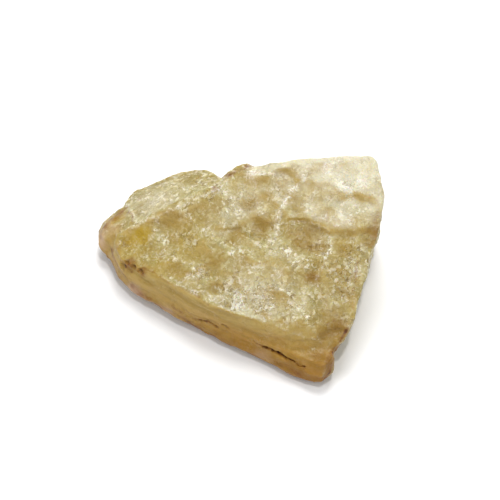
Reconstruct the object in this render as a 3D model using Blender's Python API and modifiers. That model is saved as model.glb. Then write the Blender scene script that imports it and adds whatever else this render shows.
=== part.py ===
"""A rough sapphire: one broken, cloudy yellow crystal, lying on a flat break.

The stone grew and broke as one piece, so it is one solid. Its mass is laid out as a few
overlapping convex blocks, named for the parts of the stone that they make. The blocks are
fused into one mesh. The broad face then gets its ledges and hollows, the front its layers,
and every side the shallow scallops of broken crystal. The underside is cut flat.

Working axes: +X right, +Y back, +Z up, with the stone lying on Z = 0. The finished mesh is
moved so that its origin is at the middle of its box, on the surface that it lies on.
"""

import math
from dataclasses import dataclass

import bmesh
import bpy
from mathutils import Matrix, Vector, noise

MM = 0.001

# Fineness of the fused mesh, the size of the finished one, and how near its vertices
# come to the cut of the underside
VOXEL = 0.5 * MM
SMOOTHING_PASSES = 3
TRIANGLES = 8800
CUT_CLEARANCE = 0.08 * MM

# Corners of each block, in millimetres. The broad face slopes down to the front.
BROAD_FACE_RIM = [
    (-24.3, 3.2, 9.0), (-23.0, -1.5, 7.6), (-17.5, -4.9, 8.6), (-11.2, -9.2, 9.1),
    (-6.0, -13.4, 9.6), (-0.8, -15.5, 9.6), (5.2, -17.6, 8.9), (10.8, -19.6, 6.8),
    (14.8, -19.5, 6.8), (18.0, -16.4, 9.6), (19.3, -11.8, 12.0), (20.6, -6.4, 14.2),
    (22.7, -1.7, 16.2), (23.4, 2.0, 18.2), (23.2, 7.6, 19.9), (21.8, 11.5, 20.5),
    (16.8, 11.6, 20.3), (12.0, 10.8, 20.0), (8.0, 11.5, 19.6), (4.4, 10.1, 18.9),
    (0.0, 11.2, 18.3), (-5.3, 9.9, 16.5), (-7.9, 7.3, 15.5), (-12.3, 5.3, 13.6),
    (-17.7, 4.8, 12.1), (-21.4, 4.0, 10.6),
]
FRONT_FOOT = [
    (-25.4, 2.8, 2.4), (-23.6, -1.6, 2.0), (-21.0, -4.8, 2.0), (-17.2, -7.6, 2.0),
    (-13.2, -10.4, 2.0), (-8.4, -12.5, 2.0), (0.0, -16.0, 2.0), (9.4, -21.0, 2.0),
    (13.0, -21.0, 2.0), (-22.5, 1.0, -1.0), (-12.0, -7.9, -1.0), (0.0, -14.5, -1.0),
    (9.0, -19.0, -1.0), (12.5, -18.5, -1.0),
]
RIGHT_FOOT = [
    (16.0, -15.4, 3.0), (19.2, -6.0, 3.0), (21.2, 2.0, 4.0), (15.2, -14.0, -1.0),
    (18.5, -5.0, -1.0), (20.5, 8.0, -1.0),
]
BACK_FOOT = [
    (21.5, 14.6, 9.0), (11.0, 16.0, 8.0), (1.0, 16.4, 9.0), (19.5, 14.0, -1.0),
    (9.0, 15.5, -1.0), (-4.0, 15.0, -1.0),
]
BACK_SLAB = [
    (-23.1, 12.2, 6.5), (-21.4, 14.6, 7.0), (-18.2, 16.4, 7.5), (-14.9, 17.5, 8.0),
    (-12.3, 18.9, 8.5), (-9.9, 19.0, 9.0), (-7.2, 17.0, 10.0), (-4.9, 14.8, 11.0),
    (-21.5, 5.5, 9.5), (-12.3, 6.0, 12.3), (-7.0, 8.5, 14.0), (-2.0, 10.0, 14.0),
    (-21.5, 11.2, 1.0), (-17.0, 14.8, 0.0), (-10.5, 16.8, -1.0), (-3.0, 14.5, -1.0),
    (-18.0, 4.0, -1.0), (-2.0, 2.0, 2.0),
]
LEFT_LOBE = [
    (-28.0, 6.8, 4.2), (-27.6, 8.8, 4.9), (-26.4, 10.4, 5.4), (-25.0, 11.4, 6.0),
    (-22.6, 12.2, 6.4), (-20.6, 8.4, 8.8), (-21.5, 5.6, 9.2), (-25.0, 4.2, 7.4),
    (-26.7, 3.3, 3.4), (-27.7, 5.0, 3.4), (-25.8, 4.3, -0.5), (-26.2, 8.5, 0.5),
    (-23.0, 10.8, -0.5), (-20.0, 2.0, 0.0), (-19.0, 8.0, 1.0),
]
FRONT_SHELF = [
    (-9.2, -12.2, 2.2), (-8.0, -12.9, 1.4), (-4.9, -13.7, 1.6), (0.0, -16.0, 1.6),
    (3.8, -18.0, 1.6), (6.5, -20.6, 1.6), (9.4, -23.3, 1.6), (12.5, -24.3, 1.8),
    (14.5, -22.6, 2.2), (14.6, -20.6, 3.5), (14.3, -19.8, 5.5), (-8.5, -12.0, 4.2),
    (0.0, -16.1, 4.6), (7.0, -19.7, 5.0), (12.4, -23.0, 6.0), (14.4, -21.5, 6.8),
    (-6.0, -11.5, -1.0), (2.0, -16.0, -1.0), (10.0, -21.4, -1.0), (12.9, -20.4, -1.0),
]
RIGHT_BUMP = [
    (24.3, 7.0, 10.0), (23.9, 4.6, 9.2), (22.8, 2.8, 8.6), (21.2, 1.4, 8.4),
    (23.2, 9.5, 13.0), (21.0, 12.0, 12.0), (23.0, 9.0, 3.0), (21.5, 2.5, 3.0),
    (20.5, 11.0, -1.0), (19.0, 2.0, -1.0), (15.0, 6.0, 6.0),
]
BACK_FLAKE = [
    (-5.8, 10.0, 16.0), (-5.2, 10.6, 16.4), (-2.8, 11.6, 17.8), (-0.8, 12.2, 18.6),
    (0.2, 11.9, 18.7), (0.0, 9.6, 18.0), (-3.0, 8.6, 16.8), (-1.0, 13.2, 14.0),
    (-4.0, 12.0, 13.0), (1.0, 12.0, 14.0),
]
BLOCKS = {
    "broad_block": BROAD_FACE_RIM + FRONT_FOOT + RIGHT_FOOT + BACK_FOOT,
    "back_slab": BACK_SLAB,
    "left_lobe": LEFT_LOBE,
    "front_shelf": FRONT_SHELF,
    "right_bump": RIGHT_BUMP,
    "back_flake": BACK_FLAKE,
}

# Which way the broad face looks, and the long front side
BROAD_NORMAL = Vector((-0.12, -0.31, 0.94)).normalized()
FRONT_NORMAL = Vector((-0.50, -0.86, 0.10)).normalized()
FRONT_RUN = Vector((0.86, -0.50, 0.0)).normalized()

# How squarely a surface must face a side's way to start, and to fully take, its relief
SIDE_BLEND = (0.55, 0.85)
UNDER_BLEND = (0.5, 0.9)


@dataclass(frozen=True)
class Ledge:
    """A broken step in the broad face, seen from above, in millimetres.

    The face is whole on the left of the crest's run and drops sharply on its right, then
    climbs back to its old level over the run.
    """

    crest: tuple
    drop: float
    run: float


@dataclass(frozen=True)
class Hollow:
    """A shallow dish in the broad face, seen from above, in millimetres."""

    centre: tuple
    radius: float
    depth: float


CLIFF_WIDTH = 0.7
CLIMB_POWER = 1.5
LEDGES = [
    Ledge(((4.8, -0.4), (6.2, 0.5), (9.5, 0.6), (12.0, -0.4), (13.4, -1.6)), 0.75, 5.5),
    Ledge(((13.2, -1.6), (16.5, -1.4), (20.5, -2.2)), 0.65, 4.5),
    Ledge(((4.6, 1.0), (5.5, 3.5), (6.5, 5.0), (8.0, 6.6), (9.6, 8.6)), 0.45, 4.0),
    Ledge(((-2.2, 3.6), (0.0, 5.0), (2.4, 5.0)), 0.35, 2.8),
    Ledge(((-5.0, -0.4), (-1.5, 1.0), (1.0, 1.3), (4.2, 1.0)), 0.45, 3.6),
    Ledge(((2.3, 8.0), (4.0, 10.0), (6.4, 9.8), (8.5, 7.6)), 0.4, 3.4),
    Ledge(((7.6, -8.4), (9.3, -7.4), (11.6, -7.4)), 0.5, 3.0),
    Ledge(((11.2, -14.6), (12.5, -12.5), (15.0, -11.6), (16.6, -12.0), (18.0, -13.6)), 0.5, 4.6),
    Ledge(((11.6, -17.2), (13.6, -16.4), (16.8, -16.8)), 0.6, 3.4),
    Ledge(((14.4, 3.2), (17.0, 4.6), (20.5, 4.2)), 0.4, 2.8),
    Ledge(((-20.0, 3.6), (-16.5, 3.9), (-13.0, 4.3), (-9.5, 5.2)), 0.3, 4.0),
    Ledge(((-8.4, -10.2), (-6.6, -8.6), (-4.8, -9.6)), 0.3, 2.4),
    Ledge(((-4.4, -3.4), (-1.5, -2.8), (1.0, -3.4)), 0.3, 2.6),
    Ledge(((-9.0, -6.4), (-6.0, -4.8), (-2.5, -4.9), (0.4, -5.8)), 0.35, 3.2),
]
HOLLOWS = [
    Hollow((10.6, -3.6), 4.4, 0.35),
    Hollow((16.6, -4.8), 3.0, 0.45),
    Hollow((10.6, -9.8), 2.0, 0.5),
    Hollow((14.3, -17.4), 2.6, 0.4),
    Hollow((6.0, 7.4), 2.6, 0.5),
    Hollow((-14.5, 0.8), 4.5, 0.7),
    Hollow((-20.4, 1.2), 2.2, 0.5),
    Hollow((-10.5, -3.2), 3.4, 0.4),
    Hollow((1.8, -0.8), 2.4, 0.5),
]


@dataclass(frozen=True)
class Scallops:
    """Shallow dishes that meet in sharp crests, as broken crystal shows. Millimetres."""

    size: float
    depth: float
    shift: Vector


COARSE_SCALLOPS = Scallops(7.0, 0.75, Vector((3.1, 7.7, 1.9)))
FINE_SCALLOPS = Scallops(2.9, 0.32, Vector((11.3, 2.2, 5.4)))
CREST_LIFT = 0.45
WARP_SIZE = 5.0
WARP_DEPTH = 1.3
WARP_SHIFTS = [Vector((0.0, 0.0, 0.0)), Vector((17.2, 3.6, 8.1)), Vector((4.9, 21.7, 13.3))]
CELL_REACH = 0.8

# The front is layered along its length
LAYER_HEIGHT = 2.5
LAYER_DEPTH = 0.28
LAYER_BRINK = 0.68
LAYER_SWAY = 0.6
LAYER_SWAY_SIZE = 13.0
FRONT_CALM = 0.35

# The underside is broken too, so that it doesn't lie on all of its area
UNDER_SCALLOPS = Scallops(11.0, 1.7, Vector((5.0, 1.0, 9.0)))


def clear_scene():
    """Removes whatever the file holds."""
    for old in list(bpy.data.objects):
        bpy.data.objects.remove(old)


def crystal_material():
    """Cloudy pale yellow corundum."""
    material = bpy.data.materials.new("cloudy yellow crystal")
    material.use_nodes = True
    shader = material.node_tree.nodes["Principled BSDF"]
    shader.inputs["Base Color"].default_value = (0.56, 0.44, 0.21, 1.0)
    shader.inputs["Metallic"].default_value = 0.0
    shader.inputs["Roughness"].default_value = 0.3
    shader.inputs["IOR"].default_value = 1.77
    shader.inputs["Transmission Weight"].default_value = 0.35
    return material


def block_mesh(corners):
    """One closed convex block through its corners."""
    bm = bmesh.new()
    verts = [bm.verts.new(Vector(corner) * MM) for corner in corners]
    made = bmesh.ops.convex_hull(bm, input=verts)
    inner = [item for item in made["geom_interior"] if isinstance(item, bmesh.types.BMVert)]
    bmesh.ops.delete(bm, geom=inner, context="VERTS")
    bmesh.ops.recalc_face_normals(bm, faces=bm.faces)
    mesh = bpy.data.meshes.new("block")
    bm.to_mesh(mesh)
    bm.free()
    return mesh


def laid_out_blocks():
    """All the blocks in one mesh, still overlapping."""
    bm = bmesh.new()
    for corners in BLOCKS.values():
        one = block_mesh(corners)
        bm.from_mesh(one)
        bpy.data.meshes.remove(one)
    mesh = bpy.data.meshes.new("stone")
    bm.to_mesh(mesh)
    bm.free()
    return mesh


def replace_with_evaluated(obj):
    """Applies the object's modifiers to its mesh."""
    graph = bpy.context.evaluated_depsgraph_get()
    mesh = bpy.data.meshes.new_from_object(obj.evaluated_get(graph))
    obj.modifiers.clear()
    obj.data = mesh


def fuse(obj):
    """Turns the overlapping blocks into one even skin."""
    remesh = obj.modifiers.new("fuse", "REMESH")
    remesh.mode = "VOXEL"
    remesh.voxel_size = VOXEL
    replace_with_evaluated(obj)


def smoothstep(low, high, value):
    """0 below low, 1 above high, and an even curve between."""
    share = min(1.0, max(0.0, (value - low) / (high - low)))
    return share * share * (3.0 - 2.0 * share)


def warped(point):
    """The point pushed about by slow noise, so that no crest runs straight."""
    push = Vector(noise.noise(point / WARP_SIZE + shift) for shift in WARP_SHIFTS)
    return point + push * WARP_DEPTH


def scallop_depth(scallops, point):
    """How deep the scallops lie at a point: nothing on a crest, all of it mid-cell."""
    nearest = noise.voronoi(point / scallops.size + scallops.shift)[0][0]
    return scallops.depth * max(0.0, 1.0 - (nearest / CELL_REACH) ** 2)


def ledge_depth(ledge, point):
    """How far a ledge lowers the broad face at a point."""
    here = point.to_2d()
    best = None
    for start, end in zip(ledge.crest, ledge.crest[1:]):
        start, end = Vector(start), Vector(end)
        along = end - start
        share = min(1.0, max(0.0, (here - start).dot(along) / along.length_squared))
        away = here - (start + along * share)
        right_of = along.y * away.x - along.x * away.y
        if best is None or away.length < best[0]:
            best = (away.length, right_of / along.length)
    distance, right_of = best
    if right_of <= 0.0 or distance >= ledge.run:
        return 0.0
    facing = right_of / distance
    cliff = smoothstep(0.0, CLIFF_WIDTH, distance)
    climb = (1.0 - distance / ledge.run) ** CLIMB_POWER
    return ledge.drop * facing * cliff * climb


def hollow_depth(hollow, point):
    """How far a hollow lowers the broad face at a point."""
    share = (point.to_2d() - Vector(hollow.centre)).length / hollow.radius
    return hollow.depth * max(0.0, 1.0 - share * share)


def layer_depth(point):
    """How far the front is stepped in between its layers."""
    sway = LAYER_SWAY * noise.noise(Vector((point.dot(FRONT_RUN) / LAYER_SWAY_SIZE, 0.0, 0.0)))
    level = point.z / LAYER_HEIGHT + sway
    share = level - math.floor(level)
    return LAYER_DEPTH * (share / LAYER_BRINK) ** 2 * (1.0 - smoothstep(LAYER_BRINK, 1.0, share))


def relief(point, normal):
    """How far the surface at a point moves, in millimetres, from the smooth blocks."""
    broad = smoothstep(*SIDE_BLEND, normal.dot(BROAD_NORMAL))
    front = smoothstep(*SIDE_BLEND, normal.dot(FRONT_NORMAL))
    under = smoothstep(*UNDER_BLEND, -normal.z)
    bent = warped(point)
    steps = max(ledge_depth(ledge, bent) for ledge in LEDGES)
    dishes = max(hollow_depth(hollow, bent) for hollow in HOLLOWS)
    scallops = scallop_depth(COARSE_SCALLOPS, bent) + scallop_depth(FINE_SCALLOPS, bent)
    scallops *= 1.0 - (1.0 - FRONT_CALM) * front
    inward = normal * (CREST_LIFT - scallops - front * layer_depth(bent))
    inward -= BROAD_NORMAL * broad * (steps + dishes)
    inward.z += under * scallop_depth(UNDER_SCALLOPS, bent)
    return inward


def break_surface(mesh):
    """Moves every vertex by the relief at its place."""
    bm = bmesh.new()
    bm.from_mesh(mesh)
    for _ in range(SMOOTHING_PASSES):
        bmesh.ops.smooth_vert(
            bm, verts=bm.verts, factor=0.5, use_axis_x=True, use_axis_y=True, use_axis_z=True
        )
    bm.normal_update()
    moves = [relief(vert.co / MM, vert.normal) * MM for vert in bm.verts]
    for vert, move in zip(bm.verts, moves):
        vert.co += move
    bm.to_mesh(mesh)
    bm.free()


def thin_out(obj):
    """Brings the stone down to its triangle count, with the fewest where it is flat."""
    triangles = 2 * len(obj.data.polygons)
    decimate = obj.modifiers.new("thin out", "DECIMATE")
    decimate.ratio = TRIANGLES / triangles
    replace_with_evaluated(obj)


def cut_base(mesh):
    """Cuts the underside flat at Z = 0 and closes it.

    Vertices that lie next to the cut step away from it first, so that it leaves no slivers.
    """
    bm = bmesh.new()
    bm.from_mesh(mesh)
    for vert in bm.verts:
        if abs(vert.co.z) < CUT_CLEARANCE:
            vert.co.z = math.copysign(CUT_CLEARANCE, vert.co.z)
    everything = bm.verts[:] + bm.edges[:] + bm.faces[:]
    bmesh.ops.bisect_plane(
        bm, geom=everything, plane_co=(0, 0, 0), plane_no=(0, 0, 1), clear_inner=True
    )
    rim = [edge for edge in bm.edges if edge.is_boundary]
    bmesh.ops.triangle_fill(bm, edges=rim, use_beauty=True)
    bmesh.ops.triangulate(bm, faces=bm.faces)
    bmesh.ops.recalc_face_normals(bm, faces=bm.faces)
    bm.to_mesh(mesh)
    bm.free()


def centre(mesh):
    """Moves the mesh so that its box stands round the origin, and returns the move."""
    corners = [vert.co for vert in mesh.vertices]
    lowest = Vector(min(corner[axis] for corner in corners) for axis in range(3))
    highest = Vector(max(corner[axis] for corner in corners) for axis in range(3))
    middle = (lowest + highest) / 2.0
    move = Vector((-middle.x, -middle.y, -lowest.z))
    mesh.transform(Matrix.Translation(move))
    return move


def main():
    """Builds the stone and returns how far it was moved from the working axes."""
    clear_scene()
    collection = bpy.data.collections.new("rough sapphire")
    bpy.context.scene.collection.children.link(collection)
    stone = bpy.data.objects.new("stone", laid_out_blocks())
    collection.objects.link(stone)
    fuse(stone)
    break_surface(stone.data)
    thin_out(stone)
    cut_base(stone.data)
    move = centre(stone.data)
    stone.data.materials.append(crystal_material())
    return move


main()
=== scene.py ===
"""The look of a rough sapphire: one broken, cloudy yellow crystal, lying on a flat break.

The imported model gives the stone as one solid. Its mesh is copied, made fine and broken further
with what the solid is too coarse for: chips, fine layers along the front, raised veins, a crack
and small pits. What differs only in colour is painted on its vertices, and the stone is then
dressed as cloudy, see-through crystal.

Sizes of the stone are in millimetres. Places read off the photograph are pixels of its
500 x 500 frame, and are carried onto the stone along the camera's own rays.
"""

import logging
import math
from dataclasses import dataclass, field
from enum import Enum

import bmesh
import bpy
import numpy as np
from mathutils import Matrix, Vector, noise
from mathutils.bvhtree import BVHTree

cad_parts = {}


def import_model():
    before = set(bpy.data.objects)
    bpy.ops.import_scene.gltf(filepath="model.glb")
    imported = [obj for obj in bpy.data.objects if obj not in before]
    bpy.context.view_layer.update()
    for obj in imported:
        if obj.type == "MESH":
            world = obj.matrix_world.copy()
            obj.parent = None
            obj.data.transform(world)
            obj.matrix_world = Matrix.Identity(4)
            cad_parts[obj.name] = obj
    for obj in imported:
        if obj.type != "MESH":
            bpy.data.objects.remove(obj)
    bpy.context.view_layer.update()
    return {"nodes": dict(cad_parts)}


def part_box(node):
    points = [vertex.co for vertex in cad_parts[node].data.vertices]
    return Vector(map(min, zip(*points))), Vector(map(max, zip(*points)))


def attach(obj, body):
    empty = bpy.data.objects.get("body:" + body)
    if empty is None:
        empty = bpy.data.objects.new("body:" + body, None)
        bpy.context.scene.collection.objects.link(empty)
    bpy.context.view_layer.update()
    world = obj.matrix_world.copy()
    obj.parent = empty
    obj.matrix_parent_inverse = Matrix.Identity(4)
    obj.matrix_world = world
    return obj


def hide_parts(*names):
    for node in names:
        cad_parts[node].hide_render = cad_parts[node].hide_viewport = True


log = logging.getLogger("rough_sapphire")

MM = 0.001

Pixel = tuple[float, float]
Pair = tuple[float, float]
Triple = tuple[float, float, float]

# The middle of even noise, and of what a cell of it is given
MIDDLE = 0.5

# Which way the front's layers run
FRONT_RUN = (0.86, -0.50, 0.0)


def smoothstep(low: float, high: float, value: np.ndarray) -> np.ndarray:
    """0 below low, 1 above high, and an even curve between.

    Args:
        low: The value that gives 0.
        high: The value that gives 1.
        value: The values to ease.

    Returns:
        The eased values, each between 0 and 1.
    """
    share = np.clip((value - low) / (high - low), 0.0, 1.0)
    return share * share * (3.0 - 2.0 * share)


class Tint(Enum):
    """The stone's colours, as red, green and blue in hexadecimal."""

    CREAM = "E2DCC1"
    HONEY = "BBB075"
    SAND = "AE9B58"
    OLIVE = "978649"
    UMBER = "9E7C28"
    AMBER = "8E5E04"
    OCHRE = "BC9A0E"
    STRAW = "CBAF63"
    TAN = "BF8B2A"
    # Heart of iron stain, also painted shadow at the foot
    BARK = "3A1A03"
    # Edge of iron stain, also painted shadow at the foot
    RUST = "8A4A10"
    # Painted shade on chips
    DUSK = "6C4E00"
    ROSE = "D6B698"
    # Whitish frost of veins and patches, also used for painted highlights
    FROST = "FAF4E2"
    # Painted glints on chips
    GOLD = "E6DAA8"

    @property
    def rgba(self) -> tuple[float, float, float, float]:
        """The tint as a shader takes it, in scene-linear light."""
        shares = [int(self.value[at : at + 2], 16) / 255.0 for at in (0, 2, 4)]
        return (*(self._linear(share) for share in shares), 1.0)

    @staticmethod
    def _linear(share: float) -> float:
        """One channel carried from the screen's curve to linear light."""
        return share / 12.92 if share < 0.04045 else ((share + 0.055) / 1.055) ** 2.4


class Value:
    """What one socket gives. Operators on it add the Math nodes that they stand for."""

    def __init__(self, nodes: "Nodes", socket: bpy.types.NodeSocket) -> None:
        """Keeps the socket and the tree that it belongs to."""
        self.nodes = nodes
        self.socket = socket

    def other(self, output: str) -> "Value":
        """Another output of the same node."""
        return Value(self.nodes, self.socket.node.outputs[output])

    def _maths(self, operation: str, *values: "Value | float", clamp: bool = False) -> "Value":
        """Adds one Math node over the values."""
        settings = {"operation": operation, "use_clamp": clamp}
        return self.nodes.add("ShaderNodeMath", settings, dict(enumerate(values)))

    def __add__(self, other: "Value | float") -> "Value":
        """self + other."""
        return self._maths("ADD", self, other)

    def __radd__(self, other: float) -> "Value":
        """other + self."""
        return self._maths("ADD", other, self)

    def __sub__(self, other: "Value | float") -> "Value":
        """self - other."""
        return self._maths("SUBTRACT", self, other)

    def __rsub__(self, other: float) -> "Value":
        """other - self."""
        return self._maths("SUBTRACT", other, self)

    def __mul__(self, other: "Value | float") -> "Value":
        """self * other."""
        return self._maths("MULTIPLY", self, other)

    def __rmul__(self, other: float) -> "Value":
        """other * self."""
        return self._maths("MULTIPLY", other, self)

    def clamped(self) -> "Value":
        """The value held between 0 and 1."""
        return self._maths("ADD", self, 0.0, clamp=True)


class Nodes:
    """Adds nodes to one material's tree."""

    def __init__(self, material: bpy.types.Material) -> None:
        """Keeps the material's tree, and the coats that it has read."""
        self.tree = material.node_tree
        self.coats: dict[Coat, Value] = {}

    def add(
        self,
        kind: str,
        settings: dict[str, object] | None = None,
        inputs: dict[str | int, object] | None = None,
        output: str | int = 0,
    ) -> Value:
        """Adds one node.

        Args:
            kind: The node's type.
            settings: Its settings, which are set first; "stops" is a ramp's list.
            inputs: Its sockets' values, or the values that they are linked to.
            output: The output that is wanted.

        Returns:
            What that output gives.
        """
        node = self.tree.nodes.new(kind)
        for name, setting in (settings or {}).items():
            if name == "stops":
                self._set_stops(node.color_ramp, setting)
            else:
                setattr(node, name, setting)
        for key, value in (inputs or {}).items():
            if isinstance(value, Value):
                self.tree.links.new(value.socket, node.inputs[key])
            else:
                node.inputs[key].default_value = value
        return Value(self, node.outputs[output])

    @staticmethod
    def _set_stops(ramp: bpy.types.ColorRamp, stops: list[Pair]) -> None:
        """Gives a ramp its grey stops.

        Args:
            ramp: The ramp.
            stops: Where each stop stands, and its grey.
        """
        while len(ramp.elements) < len(stops):
            ramp.elements.new(1.0)
        for element, (position, grey) in zip(ramp.elements, stops):
            element.position = position
            element.color = (grey, grey, grey, 1.0)

    def painted(self, coat: "Coat") -> Value:
        """What is painted on the vertices as one coat.

        Args:
            coat: The coat, which is read once and kept.

        Returns:
            Its value at each place.
        """
        if coat not in self.coats:
            settings = {"attribute_name": coat.value}
            self.coats[coat] = self.add("ShaderNodeAttribute", settings, output="Fac")
        return self.coats[coat]

    def vector(self, operation: str, first: object, second: object, output: str = "Vector") -> Value:
        """One Vector Math node over two vectors."""
        return self.add("ShaderNodeVectorMath", {"operation": operation}, {0: first, 1: second}, output)

    def ramp(self, value: Value, *stops: Pair) -> Value:
        """The value carried through a ramp of grey stops."""
        return self.add("ShaderNodeValToRGB", {"stops": list(stops)}, {"Fac": value})

    def rise(self, value: Value, band: Pair) -> Value:
        """0 below a band of values, 1 above it, and evenly up between."""
        return self.ramp(value, (band[0], 0.0), (band[1], 1.0))

    def fall(self, value: Value, band: Pair) -> Value:
        """1 below a band of values, 0 above it, and evenly down between."""
        return self.ramp(value, (band[0], 1.0), (band[1], 0.0))

    def mix(self, under: "Value | tuple", over: "Value | tuple", share: "Value | float") -> Value:
        """One colour laid over another.

        Args:
            under: The colour below.
            over: The colour laid on it.
            share: How much of it covers, from 0 to 1.

        Returns:
            The mixed colour.
        """
        settings = {"data_type": "RGBA", "clamp_factor": True}
        return self.add("ShaderNodeMix", settings, {0: share, 6: under, 7: over}, output=2)


class Coat(Enum):
    """What is painted on the stone's vertices, by the name that the material reads."""

    SWELL = "swell"
    CRUMPLE = "crumple"
    SHADE = "shade"
    # Glossier places, which also gather painted glints and specks
    GLOSS = "gloss_and_sparkle"
    # Painted shadow along the foot, and painted shade where the front turns under
    FOOT = "foot"
    VEIL = "veil"
    HOLLOW = "hollow"
    DEEP = "deep"
    STAIN = "stain"
    OCHRE = "ochre"
    ROSE = "rose"
    FRONT = "front"
    PALE = "pale"
    BELOW = "below"
    LOWEST = "lowest"
    # Upward faces, where the painted glints are stronger
    TOP = "top"


@dataclass(frozen=True)
class PhotoCamera:
    """The photograph's view: from the front, well above the stone. Millimetres and degrees."""

    target: Triple = (1.93, 2.82, 8.0)
    elevation: float = 52.0
    distance: float = 270.0
    lens: float = 110.0
    sensor: float = 36.0
    frame: float = 500.0
    nearest: float = 10.0

    @property
    def axes(self) -> Matrix:
        """The camera's own axes, as the columns of a matrix."""
        return Matrix.Rotation(math.radians(90.0 - self.elevation), 3, "X")

    @property
    def place(self) -> Vector:
        """Where the camera stands, in millimetres."""
        return Vector(self.target) + self.axes.col[2] * self.distance

    def ray(self, pixel: Pixel) -> Vector:
        """The way from the camera through a pixel of the photograph.

        Args:
            pixel: How far across and down the photograph it stands.

        Returns:
            The way, of length 1.
        """
        reach = self.lens / self.sensor * self.frame
        across = pixel[0] - self.frame / 2.0
        down = pixel[1] - self.frame / 2.0
        return (self.axes @ Vector((across, -down, -reach))).normalized()

    def build(self) -> None:
        """Makes the camera and looks through it."""
        data = bpy.data.cameras.new("photo_camera")
        data.lens = self.lens
        data.sensor_width = self.sensor
        data.clip_start = self.nearest * MM
        camera = bpy.data.objects.new("photo_camera", data)
        camera.matrix_world = Matrix.Translation(self.place * MM) @ self.axes.to_4x4()
        bpy.context.scene.collection.objects.link(camera)
        bpy.context.scene.camera = camera


@dataclass(frozen=True)
class SoftLight:
    """A square soft light that faces the stone. Degrees, metres and watts."""

    name: str
    azimuth: float
    elevation: float
    distance: float
    side: float
    power: float

    def build(self) -> None:
        """Makes the light."""
        data = bpy.data.lights.new(self.name, "AREA")
        data.size = self.side
        data.energy = self.power
        light = bpy.data.objects.new(self.name, data)
        turn = Matrix.Rotation(math.radians(self.azimuth), 4, "Z")
        tip = Matrix.Rotation(math.radians(90.0 - self.elevation), 4, "X")
        light.matrix_world = turn @ tip @ Matrix.Translation((0.0, 0.0, self.distance))
        bpy.context.scene.collection.objects.link(light)


@dataclass(frozen=True)
class Studio:
    """A pale floor and soft light from above, as in the photograph."""

    floor_side: float = 3.0
    floor_grey: float = 0.93
    sky_grey: float = 1.0
    sky_strength: float = 0.565
    lights: tuple[SoftLight, ...] = (
        SoftLight("overhead", 170.0, 65.0, 0.55, 0.22, 1.9),
        SoftLight("window", -60.0, 50.0, 0.70, 0.30, 0.5),
        SoftLight("sparkle", 35.0, 80.0, 0.60, 0.03, 0.8),
    )

    def build(self) -> None:
        """Makes the floor, the sky and the lights, and sets plain colours."""
        scene = bpy.context.scene
        scene.view_settings.view_transform = "Standard"
        world = bpy.data.worlds.new("sky")
        scene.world = world
        world.use_nodes = True
        background = world.node_tree.nodes["Background"]
        background.inputs["Color"].default_value = (self.sky_grey, self.sky_grey, self.sky_grey, 1.0)
        background.inputs["Strength"].default_value = self.sky_strength
        for light in self.lights:
            light.build()
        self._floor()

    def _floor(self) -> None:
        """Makes the floor, which isn't part of the object."""
        bm = bmesh.new()
        bmesh.ops.create_grid(bm, x_segments=1, y_segments=1, size=self.floor_side / 2.0)
        mesh = bpy.data.meshes.new("floor")
        bm.to_mesh(mesh)
        bm.free()
        floor = bpy.data.objects.new("floor", mesh)
        bpy.context.scene.collection.objects.link(floor)
        material = bpy.data.materials.new("matt pale floor")
        material.use_nodes = True
        shader = material.node_tree.nodes["Principled BSDF"]
        grey = self.floor_grey
        shader.inputs["Base Color"].default_value = (grey, grey, grey, 1.0)
        shader.inputs["Roughness"].default_value = 1.0
        shader.inputs["Specular IOR Level"].default_value = 0.0
        mesh.materials.append(material)


@dataclass(frozen=True)
class Spot:
    """A round mark: its middle as a pixel of the photograph, its radius in millimetres."""

    middle: Pixel
    radius: float
    strength: float = 1.0
    core: float = 0.15

    @property
    def pixels(self) -> tuple[Pixel, ...]:
        """The pixels that place the mark."""
        return (self.middle,)

    def weights(self, anchors: np.ndarray, places: np.ndarray) -> np.ndarray:
        """How strongly the mark shows at each place.

        Args:
            anchors: Where its pixels fall on the stone, in millimetres.
            places: The places asked about, in millimetres.

        Returns:
            One weight for each place, from 0 to the mark's strength.
        """
        away = np.linalg.norm(places - anchors[0], axis=1) / self.radius
        return self.strength * smoothstep(1.0, self.core, away)


@dataclass(frozen=True)
class Line:
    """A narrow mark through pixels of the photograph, with its half width in millimetres."""

    pixels: tuple[Pixel, ...]
    width: float
    strength: float = 1.0
    core: float = 0.2

    def weights(self, anchors: np.ndarray, places: np.ndarray) -> np.ndarray:
        """How strongly the mark shows at each place.

        Args:
            anchors: Where its pixels fall on the stone, in millimetres.
            places: The places asked about, in millimetres.

        Returns:
            One weight for each place, from 0 to the mark's strength.
        """
        nearest = np.full(len(places), np.inf)
        for start, end in zip(anchors, anchors[1:]):
            along = end - start
            share = np.clip((places - start) @ along / (along @ along), 0.0, 1.0)
            away = np.linalg.norm(places - start - share[:, None] * along, axis=1)
            nearest = np.minimum(nearest, away)
        return self.strength * smoothstep(1.0, self.core, nearest / self.width)


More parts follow.
